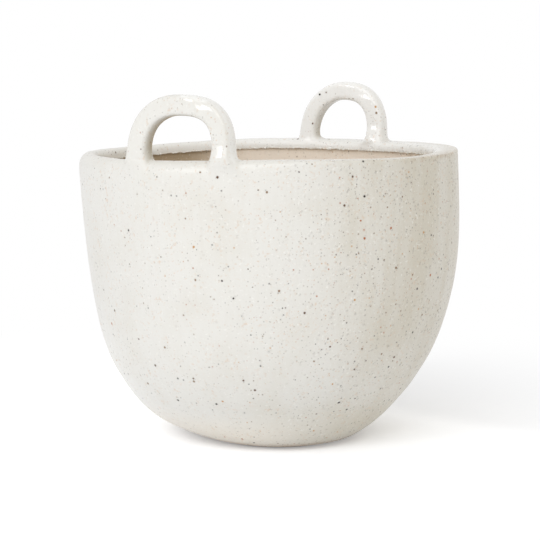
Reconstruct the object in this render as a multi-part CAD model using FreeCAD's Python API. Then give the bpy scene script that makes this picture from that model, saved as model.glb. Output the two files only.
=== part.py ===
# Hand-built stoneware bowl planter with two upright loop handles on its rim.
# Millimetres, +Z up. The origin is the centre of the foot's underside, and the
# handles stand over -Y (front) and +Y (back), with their loops in X-Z planes.
# Each solid is one piece of clay as the potter made it: floor slab, wall, lip
# coil, handle coils, and the soft luting coils pressed round each handle leg.
import FreeCAD, Part
import math
import os

Vec = FreeCAD.Vector

# Bowl
bowl_diameter = 240.0          # outside, at the lip
rim_height = 180.0             # from the ground to the crest of the lip
foot_diameter = 100.0          # flat face that the pot stands on
floor_thickness = 9.0
inner_floor_diameter = 100.0   # flat part of the floor inside
wall_thickness = 9.0           # where the wall meets the lip
upright_above_rim = 28.0       # the wall's curve would stand upright this far above the lip
curve_power = 3.9              # a larger value turns the belly upright sooner
curve_ease = 0.75              # a smaller value fills out the turn above the foot

# Lip
lip_height = 7.0
lip_width = 12.0               # more than the wall, so that the lip overhangs inside
lip_outer_round = 5.0
lip_inner_round = 4.0

# Handles
coil_width = 12.0              # handle coil, measured along Y
coil_thickness = 12.2          # handle coil, measured in the loop's own plane
coil_round = 4.3               # corner radius of the coil's section
handle_set_in = 8.5            # from the bowl's outside to the plane of a loop
handle_leg_spacing = {"front": 56.5, "back": 50.5}
handle_rise = {"front": 38.4, "back": 40.4}   # from the lip's crest to the loop's top
arch_flattening = 2.0          # how much lower the arch is than a half circle
shoulder_angle = 45.0          # degrees that each shoulder arc turns
leg_saddle_depth = 4.0         # how far a leg reaches down over the lip

# Luting coils
luting_height = 4.5            # above the lip's crest
luting_flare = 3.5             # spread along the rim, at the foot
luting_skin = 0.8              # spread across the rim, at the foot
luting_edge = 0.3              # thickness where it fades into the leg
luting_lift = 1.0              # from the leg's lower end to the luting's

# Worked out from the values above
bowl_radius = bowl_diameter / 2
lip_bottom = rim_height - lip_height
upright_height = rim_height + upright_above_rim
handle_plane = bowl_radius - handle_set_in
side_of_handle = {"front": -1, "back": 1}
side_of_leg = {"left": -1, "right": 1}


def bowl_curve(height, floor_radius, top_radius, top, upright):
    """Radius of a bowl at a height above its own floor."""

    def share(z):
        return (1 - (1 - z / upright) ** curve_power) ** curve_ease

    return floor_radius + (top_radius - floor_radius) * share(height) / share(top)


def solid_of_revolution(outline_edges):
    face = Part.Face(Part.Wire(outline_edges))
    return face.revolve(Vec(0, 0, 0), Vec(0, 0, 1), 360)


def bowl_form(floor_z, floor_radius, top_radius):
    """Solid bowl shape from its flat floor up to the underside of the lip."""
    steps = 12
    top = lip_bottom - floor_z
    points = []
    for step in range(steps + 1):
        height = top * (step / steps) ** 2    # closer together where the curve is tight
        radius = bowl_curve(height, floor_radius, top_radius, top, upright_height - floor_z)
        points.append(Vec(radius, 0, floor_z + height))
    curve = Part.BSplineCurve()
    curve.interpolate(points)
    axis_low = Vec(0, 0, floor_z)
    axis_high = Vec(0, 0, lip_bottom)
    return solid_of_revolution([
        Part.makeLine(axis_low, points[0]),
        curve.toShape(),
        Part.makeLine(points[-1], axis_high),
        Part.makeLine(axis_high, axis_low),
    ])


def corner_arc(centre_r, centre_z, radius, start_degrees, end_degrees):
    def at(degrees):
        turn = math.radians(degrees)
        return Vec(centre_r + radius * math.cos(turn), 0, centre_z + radius * math.sin(turn))

    middle = (start_degrees + end_degrees) / 2
    return Part.Arc(at(start_degrees), at(middle), at(end_degrees)).toShape()


def make_lip():
    inner_radius = bowl_radius - lip_width
    outer_centre = bowl_radius - lip_outer_round
    inner_centre = inner_radius + lip_inner_round
    outer_spring = rim_height - lip_outer_round
    inner_spring = rim_height - lip_inner_round
    return solid_of_revolution([
        Part.makeLine(Vec(inner_radius, 0, lip_bottom), Vec(bowl_radius, 0, lip_bottom)),
        Part.makeLine(Vec(bowl_radius, 0, lip_bottom), Vec(bowl_radius, 0, outer_spring)),
        corner_arc(outer_centre, outer_spring, lip_outer_round, 0, 90),
        Part.makeLine(Vec(outer_centre, 0, rim_height), Vec(inner_centre, 0, rim_height)),
        corner_arc(inner_centre, inner_spring, lip_inner_round, 90, 180),
        Part.makeLine(Vec(inner_radius, 0, inner_spring), Vec(inner_radius, 0, lip_bottom)),
    ])


def rounded_rectangle(centre, size_x, size_y, corner):
    """Level wire of four sides and four corner arcs round a centre."""
    reach_x = size_x / 2 - corner
    reach_y = size_y / 2 - corner
    arcs = []
    for sign_x, sign_y, start in [(1, 1, 0), (-1, 1, 90), (-1, -1, 180), (1, -1, 270)]:
        middle = centre + Vec(sign_x * reach_x, sign_y * reach_y, 0)
        turns = [math.radians(start + extra) for extra in (0, 45, 90)]
        arcs.append([middle + Vec(math.cos(turn), math.sin(turn), 0) * corner for turn in turns])
    edges = []
    for arc, following in zip(arcs, arcs[1:] + arcs[:1]):
        edges.append(Part.Arc(*arc).toShape())
        edges.append(Part.makeLine(arc[2], following[0]))
    return Part.Wire(edges)


def arch_radii(half_span, rise):
    """Shoulder and crown radii of a three-centred arch of this half span and rise."""
    turn = math.radians(shoulder_angle)
    over = 1 - math.cos(turn)
    up = 1 - math.sin(turn)
    scale = over - math.sin(turn)
    shoulder = (half_span * up - rise * math.cos(turn)) / scale
    crown = (over * rise - math.sin(turn) * half_span) / scale
    return shoulder, crown


def handle_path(name):
    """Centre line of one handle: leg, shoulder, crown, shoulder, leg."""
    y = side_of_handle[name] * handle_plane
    half_span = handle_leg_spacing[name] / 2
    rise = half_span - arch_flattening
    top = rim_height + handle_rise[name] - coil_thickness / 2
    spring = top - rise
    leg_end = rim_height - leg_saddle_depth
    shoulder, crown = arch_radii(half_span, rise)

    def on_shoulder(side, degrees):
        turn = math.radians(degrees)
        x = half_span - shoulder * (1 - math.cos(turn))
        return Vec(side * x, y, spring + shoulder * math.sin(turn))

    left = [on_shoulder(-1, shoulder_angle * share) for share in (0, 0.5, 1)]
    right = [on_shoulder(1, shoulder_angle * share) for share in (1, 0.5, 0)]
    return Part.Wire([
        Part.makeLine(Vec(-half_span, y, leg_end), left[0]),
        Part.Arc(*left).toShape(),
        Part.Arc(left[2], Vec(0, y, top), right[0]).toShape(),
        Part.Arc(*right).toShape(),
        Part.makeLine(right[2], Vec(half_span, y, leg_end)),
    ])


def make_handle(name, lip):
    path = handle_path(name)
    start = path.OrderedVertexes[0].Point
    section = rounded_rectangle(start, coil_thickness, coil_width, coil_round)
    coil = path.makePipeShell([section], True, False)
    return coil.cut(lip)


def make_luting(name, leg, lip, handle):
    """Flared ring of soft clay round the foot of one handle leg."""
    x = side_of_leg[leg] * handle_leg_spacing[name] / 2
    y = side_of_handle[name] * handle_plane
    foot_z = rim_height - leg_saddle_depth + luting_lift
    top_z = rim_height + luting_height
    sections = []
    for share in (0, 0.4, 1):                 # up the flare, which is hollow in outline
        fade = (1 - share) ** 2
        along = luting_edge + (luting_flare - luting_edge) * fade
        across = luting_edge + (luting_skin - luting_edge) * fade
        centre = Vec(x, y, foot_z + (top_z - foot_z) * share)
        size_x = coil_thickness + 2 * along
        size_y = coil_width + 2 * across
        sections.append(rounded_rectangle(centre, size_x, size_y, coil_round + across))
    flare = Part.makeLoft(sections, True, False)
    outside = Part.makeCylinder(bowl_radius, rim_height + luting_height)
    return flare.cut(handle).cut(lip).common(outside)


def export(name, shape):
    solids = shape.Solids
    piece = solids[0] if len(solids) == 1 else Part.makeCompound(solids)
    piece.exportStep("parts/" + name + ".step")
    box = piece.BoundBox
    print(f"{name}: {len(solids)} solid, {piece.Volume / 1000:.1f} cm3, z {box.ZMin:.1f} to {box.ZMax:.1f}")


os.makedirs("parts", exist_ok=True)

outer_form = bowl_form(0, foot_diameter / 2, bowl_radius)
inner_form = bowl_form(floor_thickness, inner_floor_diameter / 2, bowl_radius - wall_thickness)
floor_band = Part.makeCylinder(bowl_radius, floor_thickness)
lip = make_lip()

export("foot_slab", outer_form.common(floor_band))
export("bowl_wall", outer_form.cut(floor_band).cut(inner_form))
export("lip_coil", lip)
for name in side_of_handle:
    handle = make_handle(name, lip)
    export("handle_" + name, handle)
    for leg in side_of_leg:
        export("luting_" + name + "_" + leg, make_luting(name, leg, lip, handle))
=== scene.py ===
# Bowl planter with two loop handles: speckled stoneware under an off-white glaze.
# Everything is in metres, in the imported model's own frame.
import math
import bmesh
import bpy
from mathutils import Matrix, Vector, noise


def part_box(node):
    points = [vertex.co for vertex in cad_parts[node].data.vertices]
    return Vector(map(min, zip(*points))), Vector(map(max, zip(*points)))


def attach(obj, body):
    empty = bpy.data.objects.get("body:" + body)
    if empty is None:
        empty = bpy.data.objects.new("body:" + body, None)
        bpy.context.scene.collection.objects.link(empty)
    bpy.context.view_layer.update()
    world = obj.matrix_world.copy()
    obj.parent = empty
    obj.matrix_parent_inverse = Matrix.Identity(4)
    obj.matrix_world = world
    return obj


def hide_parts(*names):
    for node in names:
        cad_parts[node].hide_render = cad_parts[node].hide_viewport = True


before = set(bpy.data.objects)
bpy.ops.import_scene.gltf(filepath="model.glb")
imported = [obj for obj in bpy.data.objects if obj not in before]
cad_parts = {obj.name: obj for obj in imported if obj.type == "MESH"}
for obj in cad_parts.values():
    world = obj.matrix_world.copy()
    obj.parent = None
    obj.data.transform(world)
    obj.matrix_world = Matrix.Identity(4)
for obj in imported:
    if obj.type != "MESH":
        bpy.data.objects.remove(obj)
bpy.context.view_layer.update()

mm = 0.001
lipLow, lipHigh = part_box("lip_coil")
bowlRadius = lipHigh.x - 0.3 * mm      # leaves room for the sway and the dents
rimHeight = lipHigh.z
lipBottom = lipLow.z
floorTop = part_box("foot_slab")[1].z


# Helpers for node trees

def newNode(tree, kind, **settings):
    node = tree.nodes.new(kind)
    for name, value in settings.items():
        setattr(node, name, value)
    return node


def feed(tree, socket, value):
    if isinstance(value, bpy.types.NodeSocket):
        tree.links.new(value, socket)
    else:
        socket.default_value = value


def maths(tree, operation, *values):
    node = newNode(tree, "ShaderNodeMath", operation=operation)
    for socket, value in zip(node.inputs, values):
        feed(tree, socket, value)
    return node.outputs[0]


def times(tree, first, *others):
    for other in others:
        first = maths(tree, "MULTIPLY", first, other)
    return first


def plus(tree, first, *others):
    for other in others:
        first = maths(tree, "ADD", first, other)
    return first


def minus(tree, first, second):
    return maths(tree, "SUBTRACT", first, second)


def ramp(tree, value, slope, start):
    return maths(tree, "MULTIPLY_ADD", value, slope, start)


def clamped(tree, value):
    return maths(tree, "MINIMUM", maths(tree, "MAXIMUM", value, 0.0), 1.0)


def scaled(tree, vector, factor):
    node = newNode(tree, "ShaderNodeVectorMath", operation="SCALE")
    feed(tree, node.inputs[0], vector)
    feed(tree, node.inputs["Scale"], factor)
    return node.outputs[0]


def vectorMaths(tree, operation, first, second):
    node = newNode(tree, "ShaderNodeVectorMath", operation=operation)
    feed(tree, node.inputs[0], first)
    feed(tree, node.inputs[1], second)
    return node.outputs["Value" if operation == "DOT_PRODUCT" else "Vector"]


def split(tree, vector):
    node = newNode(tree, "ShaderNodeSeparateXYZ")
    tree.links.new(vector, node.inputs[0])
    return node.outputs


def ease(tree, value, low, high, toLow=0.0, toHigh=1.0):
    node = newNode(tree, "ShaderNodeMapRange", interpolation_type="SMOOTHSTEP")
    numbers = {"Value": value, "From Min": low, "From Max": high, "To Min": toLow, "To Max": toHigh}
    for name, number in numbers.items():
        feed(tree, node.inputs[name], number)
    return node.outputs["Result"]


def unevenness(tree, place, scale, detail=1.0, seed=0.0, output="Fac"):
    node = newNode(tree, "ShaderNodeTexNoise", noise_dimensions="4D")
    feed(tree, node.inputs["Vector"], place)
    feed(tree, node.inputs["W"], seed)
    feed(tree, node.inputs["Scale"], scale)
    feed(tree, node.inputs["Detail"], detail)
    return node.outputs[output]


# Geometry Nodes trees: their inputs are named here and set by name in runTree

def newTree(name, inputs):
    tree = bpy.data.node_groups.new(name, "GeometryNodeTree")
    tree.interface.new_socket("Geometry", in_out="INPUT", socket_type="NodeSocketGeometry")
    tree.interface.new_socket("Geometry", in_out="OUTPUT", socket_type="NodeSocketGeometry")
    for label, kind in inputs.items():
        tree.interface.new_socket(label, in_out="INPUT", socket_type="NodeSocket" + kind)
    entry = newNode(tree, "NodeGroupInput")
    given = {label: entry.outputs[label] for label in inputs}
    given["Geometry"] = entry.outputs["Geometry"]
    return tree, given


def objectMesh(tree, given):
    node = newNode(tree, "GeometryNodeObjectInfo")
    tree.links.new(given, node.inputs["Object"])
    return node.outputs["Geometry"]


def herePosition(tree):
    return newNode(tree, "GeometryNodeInputPosition").outputs[0]


def stored(tree, geometry, label, value, kind="FLOAT"):
    node = newNode(tree, "GeometryNodeStoreNamedAttribute", data_type=kind, domain="POINT")
    node.inputs["Name"].default_value = label
    tree.links.new(geometry, node.inputs["Geometry"])
    tree.links.new(value, node.inputs["Value"])
    return node.outputs["Geometry"]


def closeTree(tree, geometry, material):
    whole = newNode(tree, "GeometryNodeRealizeInstances")
    painted = newNode(tree, "GeometryNodeSetMaterial")
    out = newNode(tree, "NodeGroupOutput")
    tree.links.new(geometry, whole.inputs["Geometry"])
    tree.links.new(whole.outputs["Geometry"], painted.inputs["Geometry"])
    tree.links.new(material, painted.inputs["Material"])
    tree.links.new(painted.outputs["Geometry"], out.inputs["Geometry"])
    return tree


def runTree(tree, name, values, start=None, smoothing=0):
    # inputs that are left out stay at zero
    holder = addPiece(name + "Holder", start or bpy.data.meshes.new(name + "Holder"))
    if smoothing:
        soften = holder.modifiers.new("soften", "SUBSURF")
        soften.levels = soften.render_levels = smoothing
    modifier = holder.modifiers.new(tree.name, "NODES")
    modifier.node_group = tree
    for item in tree.interface.items_tree:
        if item.in_out == "INPUT" and item.name in values:
            modifier[item.identifier] = values[item.name]
    graph = bpy.context.evaluated_depsgraph_get()
    mesh = bpy.data.meshes.new_from_object(holder.evaluated_get(graph), depsgraph=graph)
    mesh.name = name
    mesh.materials.clear()
    mesh.materials.append(values["Material"])
    bpy.data.objects.remove(holder)
    return mesh


def addPiece(name, mesh):
    piece = bpy.data.objects.new(name, mesh)
    bpy.context.scene.collection.objects.link(piece)
    return piece


def settle(mesh):
    # the leaning pot stands a little off centre
    mesh.transform(Matrix.Translation(bowl["settle"]))


def addPath(name, points, closed=False):
    mesh = bpy.data.meshes.new(name)
    edges = [(i, i + 1) for i in range(len(points) - 1)]
    if closed:
        edges.append((len(points) - 1, 0))
    mesh.from_pydata(points, edges, [])
    return addPiece(name, mesh)


# Materials

glaze = {
    "cream": (0.807, 0.793, 0.747, 1),
    "warm": (0.672, 0.630, 0.535, 1),
    "paintedBounce": (0.92, 0.85, 0.735, 1),     # painted light from the floor's bounce: lighter low down, away from the shaded side
    "smudge": (0.66, 0.40, 0.20, 1),
    "paleAndGlint": (0.95, 0.94, 0.90, 1),
    "thick": (0.93, 0.925, 0.90, 1),      # painted light: lighter on the far handle, the lip inside and each right leg's outer side
    "loop": (0.46, 0.40, 0.29, 1),        # painted shade inside the loops
    "bareAndShade": (0.50, 0.38, 0.26, 1),        # bare clay on the worn crest, the torn lip edge and next to the foot, with painted shade under the lip's overhang and at the foot's contact
    "insideShade": (0.74, 0.69, 0.61, 1),      # painted shade inside the bowl, and just below its lip painted shade on one side and painted light on the other:
    "shadedInside": (0.43, 0.33, 0.215, 1),
    "full": (0.90, 0.80, 0.69, 1),
    "paintedShadeTowards": math.radians(10),      # painted shade: warmer and darker round this side
    "insideTowards": math.radians(27),
    "paintedShadeShare": 0.78,
    "bandShare": 0.15,           # strength of the bands away from the shaded side,
    "runShare": 0.35,            # and of the runs
    "bandStretch": 0.12,         # waves up the wall, as a share of those round it
    "runStretch": 0.10,
    "paintedBounceFade": -1.8,
    "paleShare": 0.36,
    "morePale": 0.2,             # towards the shaded side, where they stand in for glints
    "speckRagged": 0.5 * mm,
    "speckRaggedSize": 1100.0,   # in waves per metre
    "bodyRoughness": 0.34,
    "handleRoughness": 0.10,
    "peelDepth": 0.10 * mm,      # orange peel
    "grainDepth": 0.085 * mm,
    "pimpleDepth": 0.24 * mm,
    "pimpleCells": 300.0,        # per metre
    "pimpleShare": 0.30,
    "morePimples": 0.35,
    "pimpleGloss": -0.6,
    "smoothRelief": 0.8,         # share of these depths where the clay isn't coarse
    "moreRelief": 1.4,
    "handleBump": 0.20,          # and on the handles
}
# Smooth steps: from where to where, and from what to what if that isn't 0 to 1
glazeSteps = {
    "shadedSide": (0.052, 0.112),              # metres towards the shaded side, where shade is painted
    "coarse": (-0.02, 0.11),              # more specks and relief, and painted shade low down, more and more that way
    "lowPaintedShade": (0.0, 0.042, 1.3, 0.0),  # painted shade low down on the shaded side, fading up the wall
    "cloudWarmth": (0.45, 0.75, 0.0, 0.25),
    "bandWarmth": (0.35, 0.68, -0.2, 0.2),
    "paintedBounce": (0.006, 0.028, 0.75, 0.0),
    "full": (-0.062, -0.010),             # from the painted shade below the lip to the painted light
    "lipShade": (0.105, 0.158),           # heights where these two start
    "tornAndShade": (0.35, 0.60),
    "hemAndContactShadeCloud": (0.30, 0.60, 0.35, 1.0),
    "hemAndContactShade": (0.0020, 0.0055, 0.75, 0.0),   # darker brown towards the foot: bare clay where the glaze thins out, and painted contact shade
    "smudge": (0.56, 0.72, 0.0, 0.34),
    "smudgeGroup": (0.40, 0.64),
    "paleAndGlint": (0.60, 0.76),
    "runs": (0.40, 0.72, 0.0, 0.24),
    "handleGloss": (0.177, 0.184),
    "handleRelief": (0.178, 0.186),
    "pimple": (0.0, 0.32, 1.0, 0.0),
}
# Noises: waves per metre, detail, seed
glazeNoise = {
    "cloud": (30.0, 3.0, 5.0),
    "bands": (75.0, 3.0, 14.0),
    "tornAndShade": (400.0, 2.0, 21.0),
    "smudge": (420.0, 2.0, 9.0),
    "smudgeGroup": (80.0, 2.0, 6.0),
    "paleAndGlint": (560.0, 1.0, 33.0),
    "runs": (420.0, 2.0, 3.0),
    "peel": (230.0, 1.0, 2.0),
    "grain": (620.0, 1.0, 4.0),
}
bareClay = {
    "darker": (0.50, 0.40, 0.30, 1),
    "lighter": (0.60, 0.50, 0.39, 1),
    "cloud": (60.0, 4.0, 8.0),
    "grain": (1400.0, 3.0, 1.0),
    "grainDepth": 0.08 * mm,
    "roughness": 0.85,
}

# Specks, the finest first: cells per metre, largest radius, share of the cells that hold one, strength,
# and how much the last two grow where the clay is coarse
speckLayers = {
    "sand": {"cells": 600.0, "radius": 0.46 * mm, "share": 0.50, "moreShare": 0.25, "strength": 0.24,
             "moreStrength": 0.7, "seed": 29.0},
    "grog": {"cells": 320.0, "radius": 0.56 * mm, "share": 0.30, "moreShare": 0.30, "strength": 0.62,
             "moreStrength": 0.25, "seed": 11.0},
    "iron": {"cells": 190.0, "radius": 0.84 * mm, "share": 0.28, "moreShare": 0.42, "strength": 1.0,
             "moreStrength": 0.0, "seed": 3.0},
}
speckShape = {
    "smallest": 0.35,         # share of the largest radius
    "edge": (0.78, 1.06),     # both in radii
    "halo": (0.6, 2.2),       # the speck bleeds into the glaze
    "haloStrength": 0.16,
}
speckColours = [          # by where a speck's own random number falls
    (0.00, (0.022, 0.013, 0.009, 1)),
    (0.26, (0.115, 0.058, 0.028, 1)),
    (0.50, (0.42, 0.13, 0.035, 1)),
    (0.62, (0.56, 0.31, 0.12, 1)),
    (0.78, (0.27, 0.18, 0.11, 1)),
]


def emptyTree(owner, outputKind):
    owner.use_nodes = True
    tree = owner.node_tree
    tree.nodes.clear()
    return tree, newNode(tree, outputKind).inputs["Surface"]


def newMaterial(name):
    material = bpy.data.materials.new(name)
    tree, surface = emptyTree(material, "ShaderNodeOutputMaterial")
    shader = newNode(tree, "ShaderNodeBsdfPrincipled")
    tree.links.new(shader.outputs["BSDF"], surface)
    return material, tree, shader


def mixed(tree, factor, first, second):
    node = newNode(tree, "ShaderNodeMix", data_type="RGBA")
    feed(tree, node.inputs["Factor"], factor)
    feed(tree, node.inputs[6], first)
    feed(tree, node.inputs[7], second)
    return node.outputs[2]


def cellNoise(tree, place, scale):
    # distance to the nearest cell's centre, and that cell's three random numbers
    cells = newNode(tree, "ShaderNodeTexVoronoi")
    feed(tree, cells.inputs["Vector"], place)
    feed(tree, cells.inputs["Scale"], scale)
    chance = newNode(tree, "ShaderNodeSeparateColor")
    tree.links.new(cells.outputs["Color"], chance.inputs["Color"])
    return cells.outputs["Distance"], chance.outputs


def stretched(tree, place, upScale):
    return vectorMaths(tree, "MULTIPLY", place, (1.0, 1.0, upScale))


def attribute(tree, label):
    return newNode(tree, "ShaderNodeAttribute", attribute_name=label).outputs["Fac"]


def glazeStep(tree, value, name):
    return ease(tree, value, *glazeSteps[name])


def glazeUnevenness(tree, place, name):
    return unevenness(tree, place, *glazeNoise[name])


def addBump(tree, shader, height, depth):
    bump = newNode(tree, "ShaderNodeBump")
    bump.inputs["Distance"].default_value = depth
    tree.links.new(height, bump.inputs["Height"])
    tree.links.new(bump.outputs["Normal"], shader.inputs["Normal"])


def speckTint(tree, chance):
    tint = newNode(tree, "ShaderNodeValToRGB")
    tint.color_ramp.interpolation = "CONSTANT"
    stops = tint.color_ramp.elements
    while len(stops) < len(speckColours):
        stops.new(1.0)
    for stop, (position, value) in zip(stops, speckColours):
        stop.position = position
        stop.color = value
    tree.links.new(chance, tint.inputs["Fac"])
    return tint.outputs["Color"]


def addSpecks(tree, colour, place, layer, coarse):
    moved = vectorMaths(tree, "ADD", place, (layer["seed"],) * 3)
    distance, chance = cellNoise(tree, moved, layer["cells"])
    size = ease(tree, chance["Green"], 0.0, 1.0, speckShape["smallest"], 1.0)
    size = times(tree, size, layer["radius"] * layer["cells"])
    reach = maths(tree, "DIVIDE", distance, size)
    spot = ease(tree, reach, *speckShape["edge"], layer["strength"], 0.0)
    halo = ease(tree, reach, *speckShape["halo"], layer["strength"] * speckShape["haloStrength"], 0.0)
    spot = maths(tree, "MAXIMUM", spot, halo)
    share = ramp(tree, coarse, layer["moreShare"], layer["share"])
    spot = times(tree, spot, maths(tree, "LESS_THAN", chance["Red"], share))
    spot = times(tree, spot, ramp(tree, coarse, layer["moreStrength"], 1.0))
    return mixed(tree, spot, colour, speckTint(tree, chance["Blue"]))


def wallColour(tree, place, height, shadedSide, coarse, cloud):
    # cream; painted shade makes it warmer and darker towards the shaded side and low down there, clouds and
    # upright bands warm it too, and painted light from the floor lightens it low down
    low = times(tree, coarse, glazeStep(tree, height, "lowPaintedShade"))
    warmth = plus(tree, low, times(tree, shadedSide, glaze["paintedShadeShare"]))
    warmth = plus(tree, warmth, glazeStep(tree, cloud, "cloudWarmth"))
    bands = glazeUnevenness(tree, stretched(tree, place, glaze["bandStretch"]), "bands")
    bands = times(tree, glazeStep(tree, bands, "bandWarmth"), plus(tree, shadedSide, glaze["bandShare"]))
    warmth = clamped(tree, plus(tree, warmth, bands))
    colour = mixed(tree, warmth, glaze["cream"], glaze["warm"])
    # painted light from the floor's bounce, low down, kept off the shaded side
    paintedBounce = maths(tree, "MAXIMUM", ramp(tree, coarse, glaze["paintedBounceFade"], 1.0), 0.0)
    paintedBounce = times(tree, paintedBounce, glazeStep(tree, height, "paintedBounce"))
    return mixed(tree, paintedBounce, colour, glaze["paintedBounce"])


def addZones(tree, colour, place, height, cloud):
    # painted light on the far handle and lip inside, painted shade and light in the bowl's inside, painted
    # shade in the loops' inside, bare clay and painted shade along the torn edge and at the hem by the foot
    # painted shade and light inside: browner on the shaded side below the lip, paler on the lit side
    towardsLitInside = (math.cos(glaze["insideTowards"]), math.sin(glaze["insideTowards"]), 0)
    across = vectorMaths(tree, "DOT_PRODUCT", place, towardsLitInside)
    insideShade = mixed(tree, glazeStep(tree, across, "full"), glaze["shadedInside"], glaze["full"])
    insideShade = mixed(tree, glazeStep(tree, height, "lipShade"), glaze["insideShade"], insideShade)
    for label, tint in (("paintedLight", glaze["thick"]), ("inside", insideShade), ("loopInside", glaze["loop"])):
        colour = mixed(tree, attribute(tree, label), colour, tint)
    # bare clay on the worn crest, painted shade under the lip's overhang
    tornAndShade = glazeStep(tree, glazeUnevenness(tree, place, "tornAndShade"), "tornAndShade")
    colour = mixed(tree, times(tree, attribute(tree, "tornAndShade"), tornAndShade), colour, glaze["bareAndShade"])
    # bare clay and painted contact shade just above the foot
    hemAndContactShade = times(tree, glazeStep(tree, cloud, "hemAndContactShadeCloud"), glazeStep(tree, height, "hemAndContactShade"))
    return mixed(tree, hemAndContactShade, colour, glaze["bareAndShade"])


def addMarks(tree, colour, place, shadedSide, coarse):
    # tan smudges and pale flecks in loose groups, the flecks partly painted glints, and thin runs down the
    # wall
    smudge = glazeStep(tree, glazeUnevenness(tree, place, "smudge"), "smudge")
    group = glazeStep(tree, glazeUnevenness(tree, place, "smudgeGroup"), "smudgeGroup")
    colour = mixed(tree, times(tree, smudge, group), colour, glaze["smudge"])
    # pale flecks, partly painted glints
    paleAndGlint = glazeStep(tree, glazeUnevenness(tree, place, "paleAndGlint"), "paleAndGlint")
    paleAndGlint = times(tree, paleAndGlint, ramp(tree, coarse, glaze["morePale"], glaze["paleShare"]))
    colour = mixed(tree, paleAndGlint, colour, glaze["paleAndGlint"])
    runs = glazeUnevenness(tree, stretched(tree, place, glaze["runStretch"]), "runs")
    runs = times(tree, glazeStep(tree, runs, "runs"), plus(tree, shadedSide, glaze["runShare"]))
    return mixed(tree, runs, colour, glaze["warm"])


def addGlazeRelief(tree, shader, place, height, coarse):
    # orange peel, grain and pimples, all softer on the handles
    peel = times(tree, glazeUnevenness(tree, place, "peel"), glaze["peelDepth"])
    grain = times(tree, glazeUnevenness(tree, place, "grain"), glaze["grainDepth"])
    distance, chance = cellNoise(tree, place, glaze["pimpleCells"])
    share = ramp(tree, coarse, glaze["morePimples"], glaze["pimpleShare"])
    pimple = times(tree, glazeStep(tree, distance, "pimple"), maths(tree, "LESS_THAN", chance["Red"], share))
    levels = (glaze["bodyRoughness"], glaze["handleRoughness"])
    roughness = ease(tree, height, *glazeSteps["handleGloss"], *levels)
    roughness = times(tree, roughness, ramp(tree, pimple, glaze["pimpleGloss"], 1.0))
    tree.links.new(roughness, shader.inputs["Roughness"])
    raised = plus(tree, peel, grain, times(tree, pimple, glaze["pimpleDepth"]))
    raised = times(tree, raised, ramp(tree, coarse, glaze["moreRelief"], glaze["smoothRelief"]))
    raised = times(tree, raised, ease(tree, height, *glazeSteps["handleRelief"], 1.0, glaze["handleBump"]))
    addBump(tree, shader, raised, 1.0)


def makeGlaze():
    material, tree, shader = newMaterial("speckledGlaze")
    place = newNode(tree, "ShaderNodeTexCoord").outputs["Object"]
    height = split(tree, place)["Z"]
    # painted shade: the glaze is warmer and darker towards the shaded side
    shadeDirection = (math.cos(glaze["paintedShadeTowards"]), math.sin(glaze["paintedShadeTowards"]), 0)
    turned = vectorMaths(tree, "DOT_PRODUCT", place, shadeDirection)
    shadedSide = glazeStep(tree, turned, "shadedSide")
    coarse = glazeStep(tree, turned, "coarse")
    cloud = glazeUnevenness(tree, place, "cloud")
    colour = wallColour(tree, place, height, shadedSide, coarse, cloud)
    colour = addZones(tree, colour, place, height, cloud)
    colour = addMarks(tree, colour, place, shadedSide, coarse)
    jitter = newNode(tree, "ShaderNodeTexNoise")
    feed(tree, jitter.inputs["Vector"], place)
    feed(tree, jitter.inputs["Scale"], glaze["speckRaggedSize"])
    ragged = vectorMaths(tree, "ADD", place, scaled(tree, jitter.outputs["Color"], glaze["speckRagged"]))
    for layer in speckLayers.values():
        colour = addSpecks(tree, colour, ragged, layer, coarse)
    tree.links.new(colour, shader.inputs["Base Color"])
    addGlazeRelief(tree, shader, place, height, coarse)
    return material


def makeBareClay():
    material, tree, shader = newMaterial("bareStoneware")
    place = newNode(tree, "ShaderNodeTexCoord").outputs["Object"]
    cloud = unevenness(tree, place, *bareClay["cloud"])
    colour = mixed(tree, cloud, bareClay["darker"], bareClay["lighter"])
    for layer in speckLayers.values():
        colour = addSpecks(tree, colour, place, layer, 0.0)
    tree.links.new(colour, shader.inputs["Base Color"])
    shader.inputs["Roughness"].default_value = bareClay["roughness"]
    addBump(tree, shader, unevenness(tree, place, *bareClay["grain"]), bareClay["grainDepth"])
    return material


glazeMaterial = makeGlaze()
clayMaterial = makeBareClay()
print("materials made")


# The turned bowl: a profile swept round, then moved as a hand moves soft clay

bowl = {
    "columns": 288,
    "outerRows": 24,
    "innerRows": 16,
    "rowSpread": 1.7,            # rows lie closer together low down, where the curve is tight
    "footRadius": 50.0 * mm,
    "uprightAbove": 28.0 * mm,
    "curvePower": 3.9,
    "curveEase": 0.75,
    "wall": 9.0 * mm,
    "glazeLine": 0.9 * mm,       # bare clay shows below this
    "lipFullTowards": math.radians(27),     # the lip is broad and crisp here, narrow and soft opposite
    "broadWall": 13.2 * mm,      # the wall under the broad side of the lip
    "belly": 1.1 * mm,           # fuller than the curve low down
    "bellyTop": 84.0 * mm,
    "settle": Vector((-0.58, -0.29, 0)) * mm,
    "lobePower": 2.5,            # a larger power makes the foot's bulges narrower
    "dentStretch": 0.4,          # the dents are longer up the wall than round it
    "paintedLightShare": 0.8,           # of painted light on the lip inside
}
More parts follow.
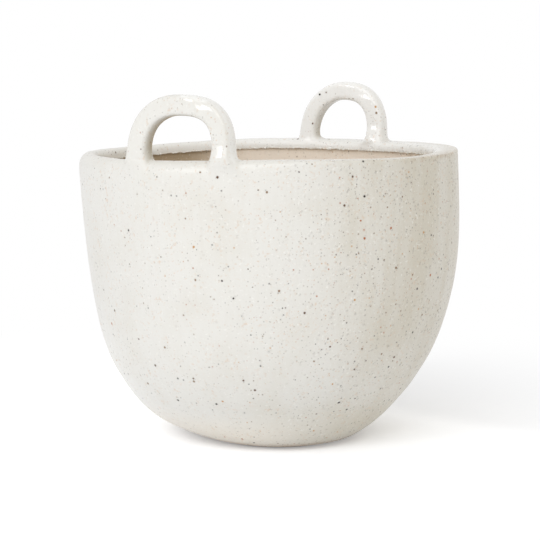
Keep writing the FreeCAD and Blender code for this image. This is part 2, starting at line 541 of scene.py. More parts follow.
# Lip section from the outside over the crest to the wall inside: inset from the bowl's outside,
# drop below the crest, both in millimetres
softLip = [(0, 11.5), (0.15, 7.2), (1.1, 3.6), (3.9, 0.8), (7.0, 0.0), (9.3, 0.7), (10.4, 2.8), (10.6, 4.8),
           (10.4, 6.6), (9.8, 7.2), (9.2, 7.3), (9.0, 8.6)]
crispLip = [(0, 11.5), (0, 3.2), (0.05, 0.9), (0.9, 0.05), (7.5, 0.0), (12.6, 0.6), (14.9, 2.4), (15.3, 4.6),
            (15.1, 6.6), (14.4, 7.1), (13.6, 7.4), (13.2, 8.8)]
lowerEdgePoint = 8           # the lip's lower inner edge, where the clay is torn
insidePoint = 9              # the bowl's inside starts at this point of the section
movement = {
    "Sway": 2.8 * mm,            # sideways lean of the belly
    "Sway From": 40.0 * mm,
    "Sway To": 172.0 * mm,
    "Sway Towards": math.radians(27),
    "Rim Tilt": 1.4 * mm,
    "Rim Tilt Towards": math.radians(35),
    "Rim Wave": 0.5 * mm,
    "Rim Wave Towards": math.radians(-84),
    "Rim Ripple": 0.5 * mm,
    "Rim Ripple Towards": math.radians(30),
    "Foot Spread": 10.0 * mm,    # the foot bulges on one side
    "Foot Spread Towards": math.radians(-43),
    "Foot Bulge": 3.4 * mm,      # the wall above it is fuller on another
    "Foot Bulge Towards": math.radians(-153),
    "Foot Lift": 1.9 * mm,       # and the foot stands a little off the ground there
    "Foot Lift Towards": math.radians(-140),
    "Dents": 0.7 * mm,
    "Dent Size": 30.0,           # in waves per metre
    "Seed": 4.0,
}
# Smooth steps that these changes come in and go out by, over heights or radii in metres
reaches = {
    "fullLip": (-0.6, 0.6),            # by the cosine of the angle to the lip's full side, as the next
    "wornCrest": (0.55, 0.9, 0.0, 0.55),
    "dentUp": (0.002, 0.03),
    "dentOut": (0.0, 0.04),
    "lowUp": (0.0, 0.03, 1.0, 0.0),
    "lowOut": (0.0, 0.045),
    "bulgeUp": (0.002, 0.009),
    "bulgeDown": (0.006, 0.038, 1.0, 0.0),
    "bulgeOut": (0.049, 0.053),
    "rimUp": (0.09, rimHeight),
}


def bowlCurve(height, floorRadius, topRadius, top, upright):
    def share(z):
        return (1 - (1 - z / upright) ** bowl["curvePower"]) ** bowl["curveEase"]
    return floorRadius + (topRadius - floorRadius) * share(height) / share(top)


def bowlSide(floorZ, topRadius, count, lowest, highest):
    points = []
    top = lipBottom - floorZ
    upright = rimHeight + bowl["uprightAbove"] - floorZ
    for i in range(count):
        height = lowest + (highest - lowest) * (i / (count - 1)) ** bowl["rowSpread"]
        radius = bowlCurve(height, bowl["footRadius"], topRadius, top, upright)
        radius += bowl["belly"] * math.sin(math.pi * min(1.0, (floorZ + height) / bowl["bellyTop"]))
        points.append((radius, floorZ + height))
    return points


def bowlProfile(lip, wall):
    line = bowl["glazeLine"]
    underside = [(38 * mm, line), (46 * mm, line), (51 * mm, line * 1.1)]
    outer = bowlSide(0, bowlRadius, bowl["outerRows"], 1.6 * mm, lipBottom - 9 * mm)
    over = [(bowlRadius - inset * mm, rimHeight - drop * mm) for inset, drop in lip]
    inner = bowlSide(floorTop, bowlRadius - wall, bowl["innerRows"], 0.3 * mm, lipBottom - floorTop - 7 * mm)
    floor = [(44 * mm, floorTop), (36 * mm, floorTop)]
    firstLipRow = len(underside) + len(outer)
    return [Vector((r, 0, z)) for r, z in underside + outer + over + inner[::-1] + floor], firstLipRow


def towards(tree, turn, angle, folds=1.0):
    # 1 at this angle and -1 opposite, or that many times round the bowl
    return maths(tree, "COSINE", times(tree, minus(tree, turn, angle), folds))


def lobe(tree, turn, angle):
    # one rounded bulge round this direction
    return maths(tree, "POWER", maths(tree, "MAXIMUM", towards(tree, turn, angle), 0.0), bowl["lobePower"])


def around(tree, turn, distance, height):
    node = newNode(tree, "ShaderNodeCombineXYZ")
    feed(tree, node.inputs["X"], times(tree, distance, maths(tree, "COSINE", turn)))
    feed(tree, node.inputs["Y"], times(tree, distance, maths(tree, "SINE", turn)))
    feed(tree, node.inputs["Z"], height)
    return node.outputs[0]


def outlinePoint(tree, outline, row):
    spot = newNode(tree, "GeometryNodeSampleIndex", data_type="FLOAT_VECTOR")
    tree.links.new(objectMesh(tree, outline), spot.inputs["Geometry"])
    tree.links.new(herePosition(tree), spot.inputs["Value"])
    tree.links.new(row, spot.inputs["Index"])
    return spot.outputs[0]


def blendedOutline(tree, given, row, turn):
    # from one outline to the other on the way round
    between = newNode(tree, "ShaderNodeMix", data_type="VECTOR")
    full = ease(tree, towards(tree, turn, given["Other Towards"]), *reaches["fullLip"])
    feed(tree, between.inputs["Factor"], full)
    tree.links.new(outlinePoint(tree, given["Profile"], row), between.inputs[4])
    tree.links.new(outlinePoint(tree, given["Other Profile"], row), between.inputs[5])
    parts = split(tree, between.outputs[1])
    return parts["X"], parts["Z"]


def handDents(tree, given, turn, radius, height):
    place = around(tree, turn, radius, times(tree, height, bowl["dentStretch"]))
    dent = unevenness(tree, place, given["Dent Size"], 1.0, given["Seed"])
    dent = times(tree, minus(tree, dent, 0.5), given["Dents"])
    return times(tree, dent, ease(tree, height, *reaches["dentUp"]), ease(tree, radius, *reaches["dentOut"]))


def footBulge(tree, given, turn, radius, height):
    bulge = times(tree, lobe(tree, turn, given["Foot Bulge Towards"]), given["Foot Bulge"])
    for name in ("bulgeUp", "bulgeDown"):
        bulge = times(tree, bulge, ease(tree, height, *reaches[name]))
    return times(tree, bulge, ease(tree, radius, *reaches["bulgeOut"]))


def rimLift(tree, given, turn, height):
    lift = times(tree, towards(tree, turn, given["Rim Tilt Towards"]), given["Rim Tilt"])
    wave = times(tree, towards(tree, turn, given["Rim Wave Towards"], 2.0), given["Rim Wave"])
    ripple = times(tree, towards(tree, turn, given["Rim Ripple Towards"], 4.0), given["Rim Ripple"])
    return times(tree, plus(tree, lift, plus(tree, wave, ripple)), ease(tree, height, *reaches["rimUp"]))


def bellySway(tree, given, height):
    climb = maths(tree, "DIVIDE", minus(tree, height, given["Sway From"]),
                  minus(tree, given["Sway To"], given["Sway From"]))
    lean = maths(tree, "SINE", times(tree, clamped(tree, climb), math.pi))
    return around(tree, given["Sway Towards"], times(tree, lean, given["Sway"]), 0.0)


def turnedPlace(tree, given, row, turn):
    radius, height = blendedOutline(tree, given, row, turn)
    low = times(tree, ease(tree, height, *reaches["lowUp"]), ease(tree, radius, *reaches["lowOut"]))
    dent = handDents(tree, given, turn, radius, height)
    spread = times(tree, lobe(tree, turn, given["Foot Spread Towards"]), low, given["Foot Spread"])
    bulge = footBulge(tree, given, turn, radius, height)
    radius = plus(tree, plus(tree, radius, bulge), plus(tree, dent, spread))
    heel = times(tree, lobe(tree, turn, given["Foot Lift Towards"]), low, given["Foot Lift"])
    raised = plus(tree, height, plus(tree, rimLift(tree, given, turn, height), heel))
    return vectorMaths(tree, "ADD", around(tree, turn, radius, raised), bellySway(tree, given, height))


def storeRowMarks(tree, given, geometry, column, row, turn):
    # what the script and the glaze need to know of each point
    def rowsNear(before, reach):
        middle = minus(tree, given["Inside Row"], before)
        return maths(tree, "LESS_THAN", maths(tree, "ABSOLUTE", minus(tree, row, middle)), reach)

    inside = maths(tree, "GREATER_THAN", row, minus(tree, given["Inside Row"], 0.5))
    worn = ease(tree, towards(tree, turn, given["Other Towards"]), *reaches["wornCrest"])
    worn = times(tree, rowsNear(6.5, 0.9), worn)                       # two rows at the crest's outer edge
    tornAndShade = maths(tree, "MAXIMUM", rowsNear(0.0, 0.5), worn)            # and the inside's first row, painted shade under the lip's overhang
    thick = times(tree, rowsNear(2.5, 2.1), bowl["paintedLightShare"])        # painted light on four rows down the lip's inner face
    seamless = maths(tree, "MODULO", column, given["Columns"])
    geometry = stored(tree, geometry, "column", seamless, "INT")
    geometry = stored(tree, geometry, "row", row, "INT")
    for label, value in (("inside", inside), ("tornAndShade", tornAndShade), ("paintedLight", thick)):
        geometry = stored(tree, geometry, label, value)
    return geometry


def turnedTree():
    kinds = {"Profile": "Object", "Other Profile": "Object", "Other Towards": "Float",
             "Columns": "Int", "Rows": "Int", "Inside Row": "Int"}
    kinds.update({label: "Float" for label in movement})
    kinds["Material"] = "Material"
    tree, given = newTree("turnedBowl", kinds)
    sheet = newNode(tree, "GeometryNodeMeshGrid")
    feed(tree, sheet.inputs["Vertices X"], plus(tree, given["Columns"], 1.0))
    tree.links.new(given["Rows"], sheet.inputs["Vertices Y"])
    index = newNode(tree, "GeometryNodeInputIndex").outputs[0]
    column = maths(tree, "FLOOR", maths(tree, "DIVIDE", plus(tree, index, 0.5), given["Rows"]))
    row = minus(tree, index, times(tree, column, given["Rows"]))
    turn = maths(tree, "DIVIDE", times(tree, column, math.tau), given["Columns"])
    shaped = newNode(tree, "GeometryNodeSetPosition")
    tree.links.new(sheet.outputs["Mesh"], shaped.inputs["Geometry"])
    tree.links.new(turnedPlace(tree, given, row, turn), shaped.inputs["Position"])
    geometry = storeRowMarks(tree, given, shaped.outputs[0], column, row, turn)
    joined = newNode(tree, "GeometryNodeMergeByDistance")
    joined.inputs["Distance"].default_value = 0.01 * mm
    tree.links.new(geometry, joined.inputs["Geometry"])
    return closeTree(tree, joined.outputs[0], given["Material"])


softProfile, firstLipRow = bowlProfile(softLip, bowl["wall"])
crispProfile, firstLipRow = bowlProfile(crispLip, bowl["broadWall"])
softPath = addPath("softPath", softProfile)
crispPath = addPath("crispPath", crispProfile)
turned = turnedTree()
bowlMesh = runTree(turned, "turnedClay", dict(movement, **{
    "Profile": softPath, "Other Profile": crispPath, "Other Towards": bowl["lipFullTowards"],
    "Columns": bowl["columns"], "Rows": len(softProfile), "Inside Row": firstLipRow + insidePoint,
    "Material": glazeMaterial,
}))
bpy.data.objects.remove(softPath)
bpy.data.objects.remove(crispPath)
print("bowl turned:", len(bowlMesh.vertices), "points")


# Handles, drawn out of the lip so that leg and lip are one skin

# a larger power makes that shoulder squarer
handles = {
    "front": {"side": -1, "left": -28.3 * mm, "right": 28.2 * mm, "top": 217.6 * mm, "out": 111.1 * mm,
              "leftPower": 2.15, "rightPower": 2.85, "leftSwell": 0.06, "paintedLight": 0.0},
    # painted light: the far handle is lighter all over
    "back": {"side": 1, "left": -23.8 * mm, "right": 26.9 * mm, "top": 220.1 * mm, "out": 111.5 * mm,
             "leftPower": 1.97, "rightPower": 2.55, "leftSwell": -0.05, "paintedLight": 1.0},
}
coil = {
    "halfThick": 6.15 * mm,
    "halfWide": 6.0 * mm,
    "squareness": 5.4,         # power of the section's rounded square
    "rounder": 1.9,            # less than that on each leg's right side,
    "rounderRamp": (3, 1.4),   # and how it comes in along the loop: slope and start
    "cellsAlong": 7,           # lip cells that a leg grows from, along the rim
    "cellsAcross": 5,
    "firstRow": 1,             # lip row where a leg's outer face starts
    "straight": 3.5 * mm,      # upright stretch above the lip
    "lineSteps": 240,
    "stationStep": 2.6 * mm,
    "footStations": [1.3 * mm, 3.3 * mm, 6.0 * mm],
    "footFlare": [0.20, 0.055, 0.0],
    "footDrop": [2.2 * mm, 0.8 * mm, 0.0],
    "toeSlope": (0.06, 0.29),         # of the left and right leg's near face, towards the foot
    "toeHeight": 9.0 * mm,
    "tilt": 0.29,                     # slope of the near face just right of the top
    "tiltAt": 0.655,
    "tiltSpread": 0.036,
    "tiltFrom": -0.8 * mm,
    "handSize": 70,                   # unevenness: waves per metre, and depth in millimetres
    "handDepth": 0.2,
    "handSeed": 7,                    # without a seed this noise differs from run to run
    "loopSide": 0.8,                  # the loop's painted shade starts this far in,
    "loopDepth": (0.9, 1.3),          # and comes in from the outer face: start and reach
    "outerSide": -0.85,               # painted light on the right leg's outer side ends this far out
}


def ringSteps():
    along, across = coil["cellsAlong"], coil["cellsAcross"]
    steps = [(i, 0) for i in range(along)] + [(along, j) for j in range(across)]
    return steps + [(along - i, across) for i in range(along)] + [(0, across - j) for j in range(across)]


def sectionPoint(i, j, share):
    # u is -1 on the loop's outside and 1 inside it, w is -1 and 1 on the two faces
    u = 2 * i / coil["cellsAlong"] - 1
    w = 1 - 2 * j / coil["cellsAcross"]
    side = share if u < 0 else 1 - share
    slope, start = coil["rounderRamp"]
    power = coil["squareness"] - coil["rounder"] * min(1.0, max(0.0, slope * side - start))
    size = (abs(u) ** power + abs(w) ** power) ** (1 / power)
    return u / size, w / size


def openLeg(mesh, grid, handle, leg):
    # leaves a hole in the lip and returns its edge in ring order, with u = -1 outside the loop
    columns = bowl["columns"]
    x = handle["left"] if leg < 0 else handle["right"]
    centre = math.atan2(handle["side"] * handle["out"], x) / math.tau * columns
    first = round(centre - coil["cellsAlong"] / 2)
    rowStart = firstLipRow + coil["firstRow"]
    reversedOrder = leg * handle["side"] < 0

    def at(i, j):
        step = coil["cellsAlong"] - i if reversedOrder else i
        return grid[(rowStart + j, (first + step) % columns)]

    inside = {at(i, j) for i in range(coil["cellsAlong"] + 1) for j in range(coil["cellsAcross"] + 1)}
    edge = [at(i, j) for i, j in ringSteps()]
    faces = [f for f in {f for v in inside for f in v.link_faces} if all(v in inside for v in f.verts)]
    bmesh.ops.delete(mesh, geom=faces, context="FACES")
    return edge


def legFoot(handle, leg, edge):
    middle = sum((v.co for v in edge), Vector()) / len(edge)
    crest = max(v.co.z for v in edge)
    return Vector((handle["left"] if leg < 0 else handle["right"], middle.y, crest))


def loopLine(handle, left, right):
    # centre line from one leg's foot to the other, as x and z
    half = (right.x - left.x) / 2
    points = []
    steps = coil["lineSteps"]
    for k in range(steps + 1):
        turn = math.pi * k / steps
        power = handle["leftPower"] if turn < math.pi / 2 else handle["rightPower"]
        across = abs(math.cos(turn)) ** (2 / power) * (-1 if turn < math.pi / 2 else 1)
        up = math.sin(turn) ** (2 / power)
        spring = left.z + (right.z - left.z) * k / steps + coil["straight"]
        rise = handle["top"] - coil["halfThick"] - spring
        points.append(Vector(((left.x + right.x) / 2 + half * across, 0, spring + rise * up)))
    return [Vector((left.x, 0, left.z))] + points + [Vector((right.x, 0, right.z))]


def alongLine(points, distance):
    for first, second in zip(points, points[1:]):
        length = (second - first).length
        if distance <= length and length > 0:
            return first.lerp(second, distance / length), (second - first).normalized()
        distance -= length
    return points[-1], (points[-1] - points[-2]).normalized()


def ringStations(length):
    # each ring's distance along the line, flare and drop
    footAt, flare, drop = coil["footStations"], coil["footFlare"], coil["footDrop"]
    free = length - 2 * footAt[-1]
    count = round(free / coil["stationStep"])
    between = [footAt[-1] + free * k / count for k in range(1, count)]
    level = [0.0] * len(between)
    stations = footAt + between + [length - d for d in footAt[::-1]]
    return zip(stations, flare + level + flare[::-1], drop + level + drop[::-1])


def drawHandle(mesh, grid, handle):
    edges = {leg: openLeg(mesh, grid, handle, leg) for leg in (-1, 1)}
    feet = {leg: legFoot(handle, leg, edge) for leg, edge in edges.items()}
    line = loopLine(handle, feet[-1], feet[1])
    length = sum((b - a).length for a, b in zip(line, line[1:]))
    innerSide = mesh.verts.layers.float["loopInside"]
    paintedLight = mesh.verts.layers.float["paintedLight"]
    outward = Vector((0, handle["side"], 0))
    depthStart, depthReach = coil["loopDepth"]
    ring = edges[-1]
    for station, flare, drop in ringStations(length):
        centre, ahead = alongLine(line, station)
        share = station / length
        y = feet[-1].y + (feet[1].y - feet[-1].y) * share
        y = y + (handle["side"] * handle["out"] - y) * math.sin(math.pi * share)
        inward = Vector((ahead.z, 0, -ahead.x))
        thick = coil["halfThick"] * (1 + handle["leftSwell"] * max(0.0, 1 - 2 * share))
        foot = feet[1] if share > 0.5 else feet[-1]
        tilt = coil["tilt"] * math.exp(-((share - coil["tiltAt"]) / coil["tiltSpread"]) ** 2)
        following = []
        for i, j in ringSteps():
            u, w = sectionPoint(i, j, share)
            place = Vector((centre.x, y, centre.z)) + inward * (u * thick * (1 + flare))
            place += outward * (w * coil["halfWide"]) - Vector((0, 0, drop * w * w))
            near = max(0.0, -w * handle["side"])
            toe = coil["toeSlope"][share > 0.5] * max(0.0, foot.z + coil["toeHeight"] - place.z)
            place.y -= near * (toe - tilt * max(place.z - centre.z, coil["tiltFrom"]))
            place += noise.noise_vector(place * coil["handSize"]) * coil["handDepth"] * mm
            point = mesh.verts.new(place)
            depth = min(1.0, max(0.0, (depthStart + w * handle["side"]) / depthReach))
            # painted shade on the loop's inner faces
            point[innerSide] = depth if u > coil["loopSide"] else 0.0
            # painted light on the right leg's outer side and all over the far handle
            point[paintedLight] = 1.0 if u < coil["outerSide"] and share > 0.5 else handle["paintedLight"]
            following.append(point)
        joinRings(mesh, ring, following)
        ring = following
    joinRings(mesh, ring, edges[1])


def joinRings(mesh, first, second):
    count = len(first)
    for k in range(count):
        n = (k + 1) % count
        mesh.faces.new((first[k], first[n], second[n], second[k]))


closing = {
    "step": 4,                   # each ring has one point for this many of the ring outside it
    "shares": (0.55, 0.40),      # of that ring's radius
}


def closeCentre(mesh, ring, insideShade):
    # fills a ring with fewer and fewer faces towards its middle
    centre = sum((v.co for v in ring), Vector()) / len(ring)
    inside = mesh.verts.layers.float["inside"]
    step = closing["step"]
    for share in closing["shares"]:
        inner = [mesh.verts.new(centre.lerp(v.co, share)) for v in ring[::step]]
        for point in inner:
            point[inside] = insideShade
        for k in range(len(inner)):
            outer = [ring[(k * step + i) % len(ring)] for i in range(step + 1)]
            mesh.faces.new(outer + [inner[(k + 1) % len(inner)], inner[k]])
        ring = inner
    middle = mesh.verts.new(centre)
    middle[inside] = insideShade
    for k in range(len(ring)):
        mesh.faces.new((ring[k], ring[(k + 1) % len(ring)], middle))


def finishBody(mesh):
    body = bmesh.new()
    body.from_mesh(mesh)
    column = body.verts.layers.int["column"]
    row = body.verts.layers.int["row"]
    body.verts.layers.float.new("loopInside")
    grid = {(v[row], v[column]): v for v in body.verts}
    columns = range(bowl["columns"])
    lowerEdge = [grid[(firstLipRow + lowerEdgePoint, c)].co.copy() for c in columns]
    noise.seed_set(coil["handSeed"])
    for handle in handles.values():
        drawHandle(body, grid, handle)
    for end, insideShade in ((0, 0.0), (len(softProfile) - 1, 1.0)):
        closeCentre(body, [grid[(end, c)] for c in columns], insideShade)
    bmesh.ops.recalc_face_normals(body, faces=body.faces)
    for face in body.faces:
        face.smooth = True
    looseEdges = sum(1 for e in body.edges if not e.is_manifold)
    print("body closed:", looseEdges == 0, "volume cm3", round(body.calc_volume() * 1e6, 1))
    body.to_mesh(mesh)
    body.free()
    for label in ("column", "row"):
        mesh.attributes.remove(mesh.attributes[label])
    return lowerEdge


# The whole glazed skin gets the small unevenness of hand-pressed clay

skin = {
    "Coarse": 0.35 * mm, "Coarse Size": 62.0,      # sizes in waves per metre
    "Fine": 0.16 * mm, "Fine Size": 170.0,
    "Seed": 2.0,
}
pressUp = (0.0, 0.008)                    # heights: none under the foot,
pressHandles = (0.181, 0.190, 1.0, 0.5)   # and half as much on the handles


def pressedTree():
    kinds = {label: "Float" for label in skin}
    kinds["Material"] = "Material"
    tree, given = newTree("pressedClay", kinds)
    place = herePosition(tree)
    height = split(tree, place)["Z"]
    coarse = unevenness(tree, place, given["Coarse Size"], 0.0, given["Seed"])
    coarse = times(tree, minus(tree, coarse, 0.5), given["Coarse"])
    fine = unevenness(tree, place, given["Fine Size"], 0.0, plus(tree, given["Seed"], 7.0))
    fine = times(tree, minus(tree, fine, 0.5), given["Fine"])
    press = times(tree, plus(tree, coarse, fine), ease(tree, height, *pressUp))
    press = times(tree, press, ease(tree, height, *pressHandles))
    shaped = newNode(tree, "GeometryNodeSetPosition")
    tree.links.new(given["Geometry"], shaped.inputs["Geometry"])
    outward = newNode(tree, "GeometryNodeInputNormal").outputs[0]
    tree.links.new(scaled(tree, outward, press), shaped.inputs["Offset"])
    return closeTree(tree, shaped.outputs[0], given["Material"])


lowerEdge = finishBody(bowlMesh)
skinMesh = runTree(pressedTree(), "glazedBody", dict(skin, Material=glazeMaterial), bowlMesh, 1)
settle(skinMesh)
glazedBody = addPiece("glazedBody", skinMesh)
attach(glazedBody, "root")
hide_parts("bowl_wall", "lip_coil", "handle_front", "handle_back", "luting_front_left",
            "luting_front_right", "luting_back_left", "luting_back_right")
print("handles drawn, skin pressed:", len(skinMesh.polygons), "faces")


# Torn clay along the lip's lower inner edge, where the coil was smoothed in

burr = {
    "Step": 0.55 * mm,
    "Thickness": 0.36 * mm,
    "Ragged": 0.90 * mm,        # how far it strays
    "Ragged Size": 300.0,       # in waves per metre
    "Crumb Share": 0.14,
    "Crumb Size": 0.85 * mm,
    "Brown And Shade": 0.35,              # share of bare clay's colour on the bead, partly painted shade
}
beadSides = 8
thicker = (0.35, 0.7, 0.55, 1.5)      # the bead's thickness, by noise
smallCrumb = (0.5, 0.5, 0.5)          # share of the crumb size along each axis
largeCrumb = (1.4, 1.2, 1.0)


def strayingLine(tree, given):
    # the edge in short steps, moved at random
    line = newNode(tree, "GeometryNodeMeshToCurve")
    tree.links.new(objectMesh(tree, given["Edge"]), line.inputs["Mesh"])
    steps = newNode(tree, "GeometryNodeResampleCurve", mode="LENGTH")
    tree.links.new(line.outputs["Curve"], steps.inputs["Curve"])
    tree.links.new(given["Step"], steps.inputs["Length"])
    stray = unevenness(tree, herePosition(tree), given["Ragged Size"], 2.0, 1.0, "Color")
    stray = vectorMaths(tree, "ADD", stray, (-0.5, -0.5, -0.5))
    moved = newNode(tree, "GeometryNodeSetPosition")
    tree.links.new(steps.outputs["Curve"], moved.inputs["Geometry"])
    tree.links.new(scaled(tree, stray, times(tree, given["Ragged"], 2.0)), moved.inputs["Offset"])
    return moved.outputs[0]


def beadOn(tree, given, line):
    thick = unevenness(tree, herePosition(tree), times(tree, given["Ragged Size"], 0.6), 2.0, 5.0)
    radius = newNode(tree, "GeometryNodeSetCurveRadius")
    tree.links.new(line, radius.inputs["Curve"])
    feed(tree, radius.inputs["Radius"], times(tree, ease(tree, thick, *thicker), given["Thickness"]))
    ring = newNode(tree, "GeometryNodeCurvePrimitiveCircle")
    ring.inputs["Resolution"].default_value = beadSides
    ring.inputs["Radius"].default_value = 1.0
    bead = newNode(tree, "GeometryNodeCurveToMesh")
    tree.links.new(radius.outputs[0], bead.inputs["Curve"])
    tree.links.new(ring.outputs["Curve"], bead.inputs["Profile Curve"])
    tree.links.new(newNode(tree, "GeometryNodeInputRadius").outputs[0], bead.inputs["Scale"])
    # the bead's brown is bare clay and painted shade
    return stored(tree, bead.outputs["Mesh"], "tornAndShade", given["Brown And Shade"])


def crumbsOn(tree, given, line):
    crumb = newNode(tree, "GeometryNodeMeshIcoSphere")
    crumb.inputs["Subdivisions"].default_value = 2
    tree.links.new(given["Crumb Size"], crumb.inputs["Radius"])
    chance = newNode(tree, "FunctionNodeRandomValue", data_type="FLOAT")
    chance.inputs["Seed"].default_value = 12
    kept = maths(tree, "LESS_THAN", chance.outputs[1], given["Crumb Share"])
    size = newNode(tree, "FunctionNodeRandomValue", data_type="FLOAT_VECTOR")
    size.inputs[0].default_value = smallCrumb
    size.inputs[1].default_value = largeCrumb
    size.inputs["Seed"].default_value = 5
    spread = newNode(tree, "GeometryNodeInstanceOnPoints")
    tree.links.new(line, spread.inputs["Points"])
    tree.links.new(crumb.outputs["Mesh"], spread.inputs["Instance"])
    tree.links.new(kept, spread.inputs["Selection"])
    tree.links.new(size.outputs[0], spread.inputs["Scale"])
    return spread.outputs[0]


def burrTree():
    kinds = {"Edge": "Object", "Material": "Material"}
    kinds.update({label: "Float" for label in burr})
    tree, given = newTree("tornEdge", kinds)
    line = strayingLine(tree, given)
    bead = beadOn(tree, given, line)
    both = newNode(tree, "GeometryNodeJoinGeometry")
    tree.links.new(crumbsOn(tree, given, line), both.inputs[0])
    tree.links.new(bead, both.inputs[0])
    return closeTree(tree, both.outputs[0], given["Material"])


edgePath = addPath("edgePath", lowerEdge, closed=True)
tornMesh = runTree(burrTree(), "tornEdge", dict(burr, Edge=edgePath, Material=glazeMaterial))
bpy.data.objects.remove(edgePath)
for face in tornMesh.polygons:
    face.use_smooth = True
settle(tornMesh)
tornEdge = addPiece("tornEdge", tornMesh)
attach(tornEdge, "root")
print("lip edge torn:", len(tornMesh.polygons), "faces")


# The foot: bare clay, a little proud of the glaze's edge

foot = {
    "columns": 160,
    "outline": [(0, 0), (20 * mm, 0), (38 * mm, 0), (46.5 * mm, 0), (49.0 * mm, 0.15 * mm),
                (50.3 * mm, bowl["glazeLine"] + 0.2 * mm), (49.5 * mm, 2.6 * mm), (30 * mm, 2.8 * mm),
                (0, 2.8 * mm)],
}


def makeFoot():
    outline = addPath("footPath", [Vector((r, 0, z)) for r, z in foot["outline"]])
    stance = {label: value for label, value in movement.items() if label.startswith("Foot")}
    rows = len(foot["outline"])
    mesh = runTree(turned, "bareFoot", dict(stance, **{
        "Profile": outline, "Other Profile": outline, "Columns": foot["columns"], "Rows": rows,
        "Inside Row": 99,      # past the last row
        "Sway To": 1.0,        # no sway, but its range isn't empty
        "Material": clayMaterial,
    }))
    bpy.data.objects.remove(outline)
    shape = bmesh.new()
    shape.from_mesh(mesh)
    bmesh.ops.recalc_face_normals(shape, faces=shape.faces)
    for face in shape.faces:
        face.smooth = True
    shape.to_mesh(mesh)
    shape.free()
    for label in ("column", "row", "inside", "tornAndShade", "paintedLight"):
        mesh.attributes.remove(mesh.attributes[label])
    settle(mesh)
    piece = addPiece("bareFoot", mesh)
    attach(piece, "root")
    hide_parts("foot_slab")


makeFoot()
print("foot made")


# Floor, camera and lights

studio = {
    "cameraAzimuth": math.radians(27),
    "cameraPitch": math.radians(7.06),
    "cameraDistance": 1.2,
    "cameraHeight": 0.2514,
    "cameraAside": 0.45 * mm,
    "focalPixels": 1893.0,
    "photoPixels": 540.0,
    "floorReach": 6.0,
    "floorDrop": 0.1 * mm,       # clear of the foot's own flat face
    "floorColour": (0.92, 0.93, 0.955, 1),
    "floorLift": 0.28,
    "leftLift": 0.22,            # painted light: more lift on the left of the pot
    "leftSteps": (0.03, 0.09),
    "shadow": 0.09,              # less lift behind the pot on the right
    "shadowSteps": (0.085, 0.125),
    "shadowAzimuth": math.radians(135),     # from the camera's
    "whiteSteps": (0.13, 0.45),  # away from the pot the paper is plain white to the eye
    "surround": 0.65,
    "shadeAzimuth": math.radians(95),       # the room is warmer on this side
    "shadeElevation": math.radians(20),
    "shadeTint": (1.0, 0.965, 0.89, 1),
    "backAzimuth": math.radians(190),       # and brighter behind
    "backGlow": 0.30,
    "softboxAim": 0.1,           # height that the softboxes point at
    "softboxes": [     # azimuth, elevation in degrees, distance, width, height, watts
        (16, 38, 5.0, 3.6, 3.6, 75.5),
        (-22, 22, 4.0, 0.90, 1.1, 24.0),
    ],
    "softboxTint": (0.985, 0.995, 1.02),
}


def onCircle(azimuth, elevation, distance, height):
    return Vector((math.sin(azimuth) * math.cos(elevation), -math.cos(azimuth) * math.cos(elevation),
                   math.sin(elevation))) * distance + Vector((0, 0, height))


def directed(tree, place, azimuth, elevation=0):
    # how far a place lies in this direction
    return vectorMaths(tree, "DOT_PRODUCT", place, onCircle(azimuth, elevation, 1.0, 0))


def makeCamera():
    data = bpy.data.cameras.new("camera")
    camera = bpy.data.objects.new("camera", data)
    bpy.context.scene.collection.objects.link(camera)
    azimuth, pitch = studio["cameraAzimuth"], studio["cameraPitch"]
    right = Vector((math.cos(azimuth), math.sin(azimuth), 0))
    camera.location = onCircle(azimuth, 0, studio["cameraDistance"], studio["cameraHeight"])
    camera.location += right * studio["cameraAside"]
    camera.rotation_euler = (math.pi / 2 - pitch, 0, azimuth)
    data.sensor_width = 36
    data.lens = studio["focalPixels"] / studio["photoPixels"] * data.sensor_width
    data.clip_start = 0.05
    data.clip_end = 50
    bpy.context.scene.camera = camera


def addSoftbox(name, azimuth, elevation, distance, width, height, watts):
    data = bpy.data.lights.new(name, "AREA")
    data.shape = "RECTANGLE"
    data.size = width
    data.size_y = height
    data.energy = watts
    data.color = studio["softboxTint"]
    lamp = bpy.data.objects.new(name, data)
    bpy.context.scene.collection.objects.link(lamp)
    aim = studio["softboxAim"]
    lamp.location = onCircle(math.radians(azimuth), math.radians(elevation), distance, aim)
    lamp.rotation_euler = (Vector((0, 0, aim)) - lamp.location).to_track_quat("-Z", "Y").to_euler()


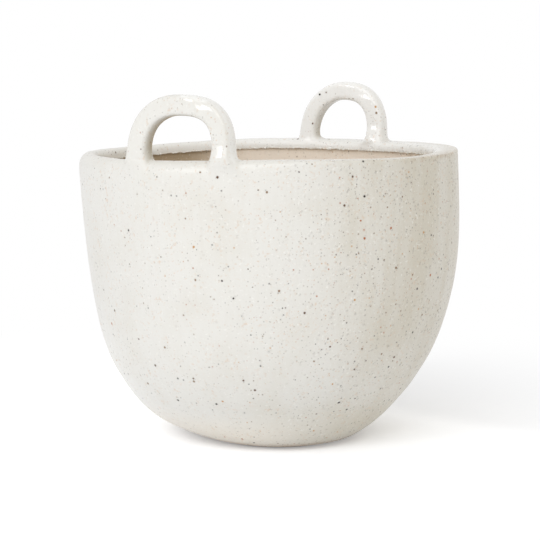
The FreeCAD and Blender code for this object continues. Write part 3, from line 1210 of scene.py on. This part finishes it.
def floorShader(tree):
    paper = newNode(tree, "ShaderNodeBsdfDiffuse")
    paper.inputs["Color"].default_value = studio["floorColour"]
    rays = newNode(tree, "ShaderNodeLightPath")
    seen = maths(tree, "MAXIMUM", rays.outputs["Is Camera Ray"], rays.outputs["Is Glossy Ray"])
    seen = maths(tree, "MAXIMUM", seen, rays.outputs["Is Transmission Ray"])
    place = newNode(tree, "ShaderNodeTexCoord").outputs["Object"]
    low, high = studio["floorLift"], studio["floorLift"] + studio["leftLift"]
    left = directed(tree, place, studio["cameraAzimuth"] - math.pi / 2)
    level = ease(tree, left, *studio["leftSteps"], low, high)
    behind = directed(tree, place, studio["cameraAzimuth"] + studio["shadowAzimuth"])
    level = plus(tree, level, ease(tree, behind, *studio["shadowSteps"], 0.0, -studio["shadow"]))
    lift = newNode(tree, "ShaderNodeEmission")
    feed(tree, lift.inputs["Strength"], times(tree, seen, level))
    near = newNode(tree, "ShaderNodeAddShader")
    tree.links.new(paper.outputs[0], near.inputs[0])
    tree.links.new(lift.outputs[0], near.inputs[1])
    distance = newNode(tree, "ShaderNodeVectorMath", operation="LENGTH")
    tree.links.new(place, distance.inputs[0])
    away = ease(tree, distance.outputs["Value"], *studio["whiteSteps"])
    white = newNode(tree, "ShaderNodeEmission")
    both = newNode(tree, "ShaderNodeMixShader")
    feed(tree, both.inputs["Fac"], times(tree, away, seen))
    tree.links.new(near.outputs[0], both.inputs[1])
    tree.links.new(white.outputs[0], both.inputs[2])
    return both.outputs[0]


def makeFloor():
    mesh = bpy.data.meshes.new("floor")
    reach, low = studio["floorReach"], -studio["floorDrop"]
    corners = [(-reach, -reach, low), (reach, -reach, low), (reach, reach, low), (-reach, reach, low)]
    mesh.from_pydata(corners, [], [(0, 1, 2, 3)])
    floor = addPiece("floor", mesh)
    material = bpy.data.materials.new("floorPaper")
    tree, surface = emptyTree(material, "ShaderNodeOutputMaterial")
    tree.links.new(floorShader(tree), surface)
    mesh.materials.append(material)


def makeSurround():
    world = bpy.data.worlds.new("whiteRoom")
    bpy.context.scene.world = world
    tree, surface = emptyTree(world, "ShaderNodeOutputWorld")
    sky = newNode(tree, "ShaderNodeBackground")
    look = newNode(tree, "ShaderNodeTexCoord").outputs["Generated"]
    seen = newNode(tree, "ShaderNodeLightPath").outputs["Is Camera Ray"]
    unseen = minus(tree, 1.0, seen)
    shade = ease(tree, directed(tree, look, studio["shadeAzimuth"], studio["shadeElevation"]), 0.0, 1.0)
    tint = mixed(tree, times(tree, shade, unseen), (1, 1, 1, 1), studio["shadeTint"])
    tree.links.new(tint, sky.inputs["Color"])
    glow = ease(tree, directed(tree, look, studio["backAzimuth"]), 0.2, 1.0)
    level = plus(tree, times(tree, glow, studio["backGlow"]), studio["surround"])
    feed(tree, sky.inputs["Strength"], plus(tree, times(tree, level, unseen), seen))
    tree.links.new(sky.outputs[0], surface)


makeCamera()
makeFloor()
makeSurround()
for number, box in enumerate(studio["softboxes"]):
    addSoftbox(f"softbox{number}", *box)
bpy.context.scene.view_settings.view_transform = "Standard"
print("studio lit")
